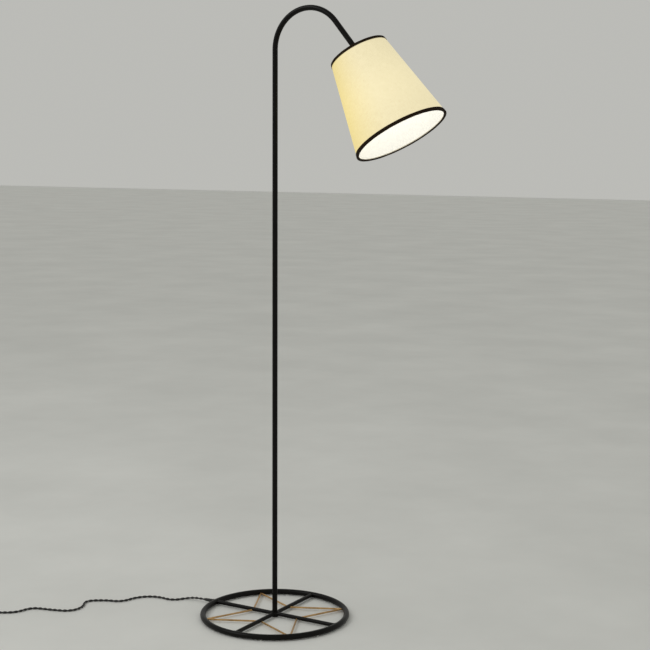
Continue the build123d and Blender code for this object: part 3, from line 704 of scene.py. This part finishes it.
def makeWeave():
    # Plain weave on a map in metres, with thicker threads here and there.
    group, given, out = newGroup(
        "weave", [("Vector", "Vector", None), ("Threads", "Float", 1600.0), ("Slub", "Float", 0.5)],
        ["Thread", "Height"])
    parts = put(group, "SeparateXYZ", {}, {0: given["Vector"]}).outputs
    waves = []
    for part in (parts[0], parts[1]):
        turns = mathNode(group, "MULTIPLY", mathNode(group, "MULTIPLY", part, given["Threads"]), pi)
        waves.append(mathNode(group, "SINE", turns))
    ridges = mathNode(group, "ADD", *[mathNode(group, "ABSOLUTE", wave) for wave in waves])
    cross = mathNode(group, "MULTIPLY", waves[0], waves[1])
    height = mathNode(group, "ADD", mathNode(group, "MULTIPLY", ridges, 0.4),
                      mathNode(group, "MULTIPLY", cross, 0.25))
    slubs = []
    for scale in ((70.0, 1500.0, 1.0), (1500.0, 70.0, 1.0)):
        stretched = put(group, "Mapping", {}, {"Vector": given["Vector"], "Scale": scale})
        slubs.append(put(group, "TexNoise", {"noise_dimensions": "2D"},
                         {"Vector": stretched.outputs[0], "Scale": 1.0, "Detail": 2.0}).outputs[0])
    both = mathNode(group, "MULTIPLY", mathNode(group, "ADD", slubs[0], slubs[1]), 0.5)
    uneven = mathNode(group, "MULTIPLY", both, given["Slub"])
    thread = put(group, "MapRange", {}, {"Value": both, "From Min": 0.38, "From Max": 0.62})
    group.links.new(thread.outputs[0], out["Thread"])
    group.links.new(mathNode(group, "ADD", height, uneven), out["Height"])
    return group


def makeBraid():
    # Crossing strands round a cord: the map goes once round it, and in metres along it.
    group, given, out = newGroup(
        "braid", [("Vector", "Vector", None), ("Strands", "Float", 8.0), ("Pitch", "Float", 420.0)],
        ["Strand", "Height"])
    parts = put(group, "SeparateXYZ", {}, {0: given["Vector"]}).outputs
    across = mathNode(group, "MULTIPLY", parts[0], given["Strands"])
    along = mathNode(group, "MULTIPLY", parts[1], given["Pitch"])
    waves = [mathNode(group, "SINE", mathNode(group, "MULTIPLY", mathNode(group, way, across, along), pi))
             for way in ("ADD", "SUBTRACT")]
    product = mathNode(group, "MULTIPLY", waves[0], waves[1])
    group.links.new(mathNode(group, "MULTIPLY_ADD", product, 0.5), out["Strand"])
    group.links.new(mathNode(group, "ABSOLUTE", product), out["Height"])
    return group


mottle, brushed, weave, braid = makeMottle(), makeBrushed(), makeWeave(), makeBraid()


def startMaterial(name, **plain):
    material = bpy.data.materials.new(name)
    material.use_nodes = True
    shader = next(node for node in material.node_tree.nodes if node.type == "BSDF_PRINCIPLED")
    for label, value in plain.items():
        shader.inputs[label.replace("_", " ")].default_value = value
    return material, material.node_tree, shader


def blendColours(tree, factor, dark, light):
    mixed = put(tree, "Mix", {"data_type": "RGBA"}, {0: factor, 6: (*dark, 1), 7: (*light, 1)})
    return mixed.outputs[2]


def ranged(tree, value, low, high):
    return put(tree, "MapRange", {}, {"Value": value, "To Min": low, "To Max": high}).outputs[0]


def bumped(tree, shader, height, strength, distance):
    bump = put(tree, "Bump", {}, {"Height": height, "Strength": strength, "Distance": distance})
    tree.links.new(bump.outputs[0], shader.inputs["Normal"])


def mottled(name, dark, light, rough, patches, grain, bumpBy, **plain):
    # Enamel, rubber, plastic, card and other even finishes.
    material, tree, shader = startMaterial(name, **plain)
    place = put(tree, "TexCoord", {}, {}).outputs["Object"]
    spots = put(tree, "Group", {"node_tree": mottle}, {"Vector": place, "Patches": patches, "Grain": grain})
    tree.links.new(blendColours(tree, spots.outputs["Patch"], dark, light), shader.inputs["Base Color"])
    tree.links.new(ranged(tree, spots.outputs["Patch"], *rough), shader.inputs["Roughness"])
    bumped(tree, shader, spots.outputs["Height"], *bumpBy)
    return material


def metal(name, dark, light, rough, fine, **plain):
    material, tree, shader = startMaterial(name, Metallic=1.0, **plain)
    place = put(tree, "TexCoord", {}, {}).outputs["Object"]
    lines = put(tree, "Group", {"node_tree": brushed}, {"Vector": place, "Fine": fine})
    spots = put(tree, "Group", {"node_tree": mottle}, {"Vector": place, "Patches": 45.0, "Grain": 1200.0})
    tree.links.new(blendColours(tree, spots.outputs["Patch"], dark, light), shader.inputs["Base Color"])
    tree.links.new(ranged(tree, lines.outputs["Line"], *rough), shader.inputs["Roughness"])
    bumped(tree, shader, lines.outputs["Height"], 0.12, 0.0001)
    return material


# The cover's own colours, and the colours and strength of the glow painted on it.
cloth = {
    "coverDark": (0.50, 0.44, 0.30),
    "coverLight": (0.58, 0.52, 0.38),
    "glowPale": (0.77, 0.68, 0.41),
    "glowYellow": (0.70, 0.54, 0.105),
    "glowStrength": 0.78,
    "threads": 1500.0,
}


def glowingCloth(name, pale, yellow, strength, threads, dark, light):
    # The cloth's glow is painted light: emission stands in for the bulb's light through and onto the cloth,
    # yellower on one painted side.
    material, tree, shader = startMaterial(name, Roughness=0.85, Emission_Strength=strength,
                                           Sheen_Weight=0.1)
    place = put(tree, "UVMap", {"uv_map": "weave"}, {}).outputs[0]
    woven = put(tree, "Group", {"node_tree": weave}, {"Vector": place, "Threads": threads, "Slub": 0.6})
    glow = put(tree, "Attribute", {"attribute_name": "glow"}, {}).outputs["Fac"]
    yellowGlowShare = put(tree, "Attribute", {"attribute_name": "yellowGlowShare"}, {}).outputs["Fac"]
    tree.links.new(blendColours(tree, woven.outputs["Thread"], dark, light), shader.inputs["Base Color"])
    tint = put(tree, "Mix", {"data_type": "RGBA"}, {0: yellowGlowShare, 6: (*pale, 1), 7: (*yellow, 1)}).outputs[2]
    threadShade = ranged(tree, woven.outputs["Thread"], 0.93, 1.03)
    level = mathNode(tree, "MULTIPLY", ranged(tree, glow, 0.78, 1.02), threadShade)
    lit = put(tree, "VectorMath", {"operation": "SCALE"}, {0: tint, "Scale": level}).outputs[0]
    tree.links.new(lit, shader.inputs["Emission Color"])
    bumped(tree, shader, woven.outputs["Height"], 0.25, 0.00015)
    return material


def tapeCloth():
    material, tree, shader = startMaterial("brownBiasTape", Specular_IOR_Level=0.12)
    place = put(tree, "UVMap", {"uv_map": "weave"}, {}).outputs[0]
    woven = put(tree, "Group", {"node_tree": weave}, {"Vector": place, "Threads": 2200.0, "Slub": 0.5})
    brown = blendColours(tree, woven.outputs["Thread"], (0.011, 0.0052, 0.0013), (0.022, 0.0105, 0.003))
    tree.links.new(brown, shader.inputs["Base Color"])
    tree.links.new(ranged(tree, woven.outputs["Thread"], 0.75, 0.92), shader.inputs["Roughness"])
    bumped(tree, shader, woven.outputs["Height"], 0.5, 0.0002)
    return material


def braidedFlex():
    material, tree, shader = startMaterial("blackBraidedFlex", Sheen_Weight=0.15)
    place = put(tree, "UVMap", {"uv_map": "along"}, {}).outputs[0]
    strands = put(tree, "Group", {"node_tree": braid}, {"Vector": place, "Strands": 8.0, "Pitch": 420.0})
    black = blendColours(tree, strands.outputs["Strand"], (0.006, 0.006, 0.006), (0.026, 0.024, 0.022))
    tree.links.new(black, shader.inputs["Base Color"])
    tree.links.new(ranged(tree, strands.outputs["Strand"], 0.6, 0.85), shader.inputs["Roughness"])
    bumped(tree, shader, strands.outputs["Height"], 0.6, 0.0003)
    return material


def glowingBulb():
    # Frosted glass: brightest round its middle, dimmer down at the neck.
    material, tree, shader = startMaterial("frostedBulb", Emission_Strength=2.5, Coat_Weight=0.3)
    place = put(tree, "TexCoord", {}, {}).outputs["Object"]
    spots = put(tree, "Group", {"node_tree": mottle}, {"Vector": place, "Patches": 30.0, "Grain": 2500.0})
    away = put(tree, "VectorMath", {"operation": "DISTANCE"},
               {0: place, 1: pivot + headAlong * bulbCentre}).outputs["Value"]
    near = put(tree, "MapRange", {}, {"Value": away, "From Min": bulbRadius * 0.9,
                                      "From Max": bulbRadius * 2.2})
    tree.links.new(blendColours(tree, near.outputs[0], (1.0, 0.93, 0.76), (0.75, 0.60, 0.38)),
                   shader.inputs["Emission Color"])
    tree.links.new(blendColours(tree, spots.outputs["Patch"], (0.86, 0.85, 0.80), (0.92, 0.91, 0.87)),
                   shader.inputs["Base Color"])
    tree.links.new(ranged(tree, spots.outputs["Patch"], 0.42, 0.55), shader.inputs["Roughness"])
    bumped(tree, shader, spots.outputs["Height"], 0.1, 0.00005)
    return material


finishes = {
    "black_enamel": mottled("blackEnamel", (0.0018, 0.0015, 0.0013), (0.0042, 0.0034, 0.0028), (0.30, 0.44),
                            25.0, 700.0, (0.08, 0.0002), Specular_IOR_Level=0.14),
    "warm_brass": metal("warmBrass", (0.40, 0.23, 0.09), (0.72, 0.47, 0.22), (0.26, 0.44), 1.0),
    "zinc_steel": metal("zincSteel", (0.42, 0.42, 0.43), (0.58, 0.58, 0.58), (0.26, 0.42), 1.2),
    "holder_brass": metal("holderBrass", (0.48, 0.33, 0.12), (0.64, 0.46, 0.19), (0.24, 0.4), 0.9),
    "black_phenolic": mottled("blackPhenolic", (0.010, 0.009, 0.009), (0.020, 0.018, 0.017), (0.3, 0.45),
                              60.0, 1500.0, (0.1, 0.0001), Coat_Weight=0.1),
    "liner_card": mottled("linerCard", (0.17, 0.12, 0.075), (0.28, 0.21, 0.14), (0.85, 0.95),
                          120.0, 2200.0, (0.4, 0.0002)),
    "contact_brass": metal("contactBrass", (0.62, 0.42, 0.15), (0.80, 0.58, 0.26), (0.22, 0.36), 1.4),
    "opal_glass": glowingBulb(),
    "clear_glass": mottled("clearGlass", (0.85, 0.88, 0.88), (0.93, 0.95, 0.95), (0.04, 0.09),
                           20.0, 800.0, (0.03, 0.00005), Transmission_Weight=0.9, IOR=1.5),
    "vitrite": mottled("vitrite", (0.006, 0.004, 0.009), (0.014, 0.01, 0.02), (0.1, 0.22),
                       80.0, 1400.0, (0.1, 0.0001)),
    "cap_aluminium": metal("capAluminium", (0.66, 0.66, 0.65), (0.78, 0.78, 0.77), (0.28, 0.42), 1.1),
    "filament_phosphor": mottled("filamentPhosphor", (0.85, 0.6, 0.1), (0.95, 0.72, 0.2), (0.4, 0.5),
                                 300.0, 3000.0, (0.1, 0.0001), Emission_Color=(1, 0.72, 0.3, 1),
                                 Emission_Strength=6.0),
    "cream_cloth": glowingCloth("creamShadeCloth", cloth["glowPale"], cloth["glowYellow"],
                                cloth["glowStrength"], cloth["threads"], cloth["coverDark"],
                                cloth["coverLight"]),
    "white_lining": glowingCloth("whiteShadeLining", (1.0, 0.99, 0.93), (1.0, 0.97, 0.86), 0.52, 900.0,
                                 (0.58, 0.57, 0.53), (0.64, 0.63, 0.59)),
    "brown_tape": tapeCloth(),
    "wire_enamel": mottled("wireEnamel", (0.50, 0.47, 0.40), (0.62, 0.59, 0.52), (0.35, 0.5),
                           50.0, 1200.0, (0.1, 0.0001)),
    "black_flex": mottled("innerFlexSheath", (0.010, 0.009, 0.009), (0.024, 0.022, 0.020), (0.6, 0.8),
                          200.0, 2000.0, (0.4, 0.0002)),
    "black_rubber": mottled("blackRubber", (0.010, 0.010, 0.010), (0.020, 0.020, 0.019), (0.5, 0.68),
                            90.0, 1600.0, (0.15, 0.0001)),
    "clear_pad": mottled("padRubber", (0.40, 0.40, 0.38), (0.52, 0.52, 0.49), (0.6, 0.75),
                         90.0, 1600.0, (0.15, 0.0001)),
}


def finish(piece, material):
    if piece.material_slots:
        for holder in piece.material_slots:
            holder.material = material
    else:
        piece.data.materials.append(material)


for part in frame["record"]["subparts"]:
    finish(nodes[part["node"]], finishes[part["material_slot"]])
for piece, material, slotName, body, replaced in (
        (mainsFlex, braidedFlex(), "black_flex", "stand",
         ("mains_flex", "mains_flex_coil", "mains_flex_tail")),
        (shadeCloth, finishes["cream_cloth"], "cream_cloth", "shade", ("shade_cover",)),
        (shadeLiner, finishes["white_lining"], "white_lining", "shade", ("shade_lining",)),
        (topTape, finishes["brown_tape"], "brown_tape", "shade", ("top_binding",)),
        (bottomTape, finishes["brown_tape"], "brown_tape", "shade", ("bottom_binding",)),
        (strainRelief, finishes["black_rubber"], "black_rubber", "stand", ("cord_gland",)),
        (plugBody, finishes["black_rubber"], "black_rubber", "stand", ("plug_body",)),
        (coilStrap, finishes["black_rubber"], "black_rubber", "stand", ()),
        (barWelds, finishes["black_enamel"], "black_enamel", "stand", ())):
    finish(piece, material)
    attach(piece, body)
    if replaced:
        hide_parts(*replaced)
print("materials given")

studio = {
    "air": (0.50, 0.50, 0.475),
    "airStrength": 1.0,
    "floorDark": (0.72, 0.725, 0.70),
    "floorLight": (0.81, 0.815, 0.79),
    "floorSize": 60,
    "keyPlace": (-2.2, -2.6, 3.4),
    "keySize": 2.4,
    "keyPower": 45,
}


def makeStudio():
    bpy.ops.object.select_all(action="DESELECT")
    bpy.ops.mesh.primitive_plane_add(size=studio["floorSize"])
    floor = bpy.context.object
    floor.name = "studioFloor"
    finish(floor, mottled("paleFloor", studio["floorDark"], studio["floorLight"], (0.55, 0.7),
                          1.6, 300.0, (0.05, 0.0003)))
    bpy.ops.object.light_add(type="AREA", location=studio["keyPlace"])
    key = bpy.context.object
    key.name = "softKey"
    key.data.shape = "SQUARE"
    key.data.size = studio["keySize"]
    key.data.energy = studio["keyPower"]
    aim = Vector((0, 0, 0.6)) - Vector(studio["keyPlace"])
    key.rotation_euler = aim.to_track_quat("-Z", "Y").to_euler()
    world = bpy.data.worlds.new("studioAir")
    world.use_nodes = True
    air = world.node_tree.nodes["Background"]
    air.inputs["Color"].default_value = (*studio["air"], 1)
    air.inputs["Strength"].default_value = studio["airStrength"]
    bpy.context.scene.world = world
    bpy.context.scene.view_settings.view_transform = "Standard"
    print("studio made")


makeStudio()
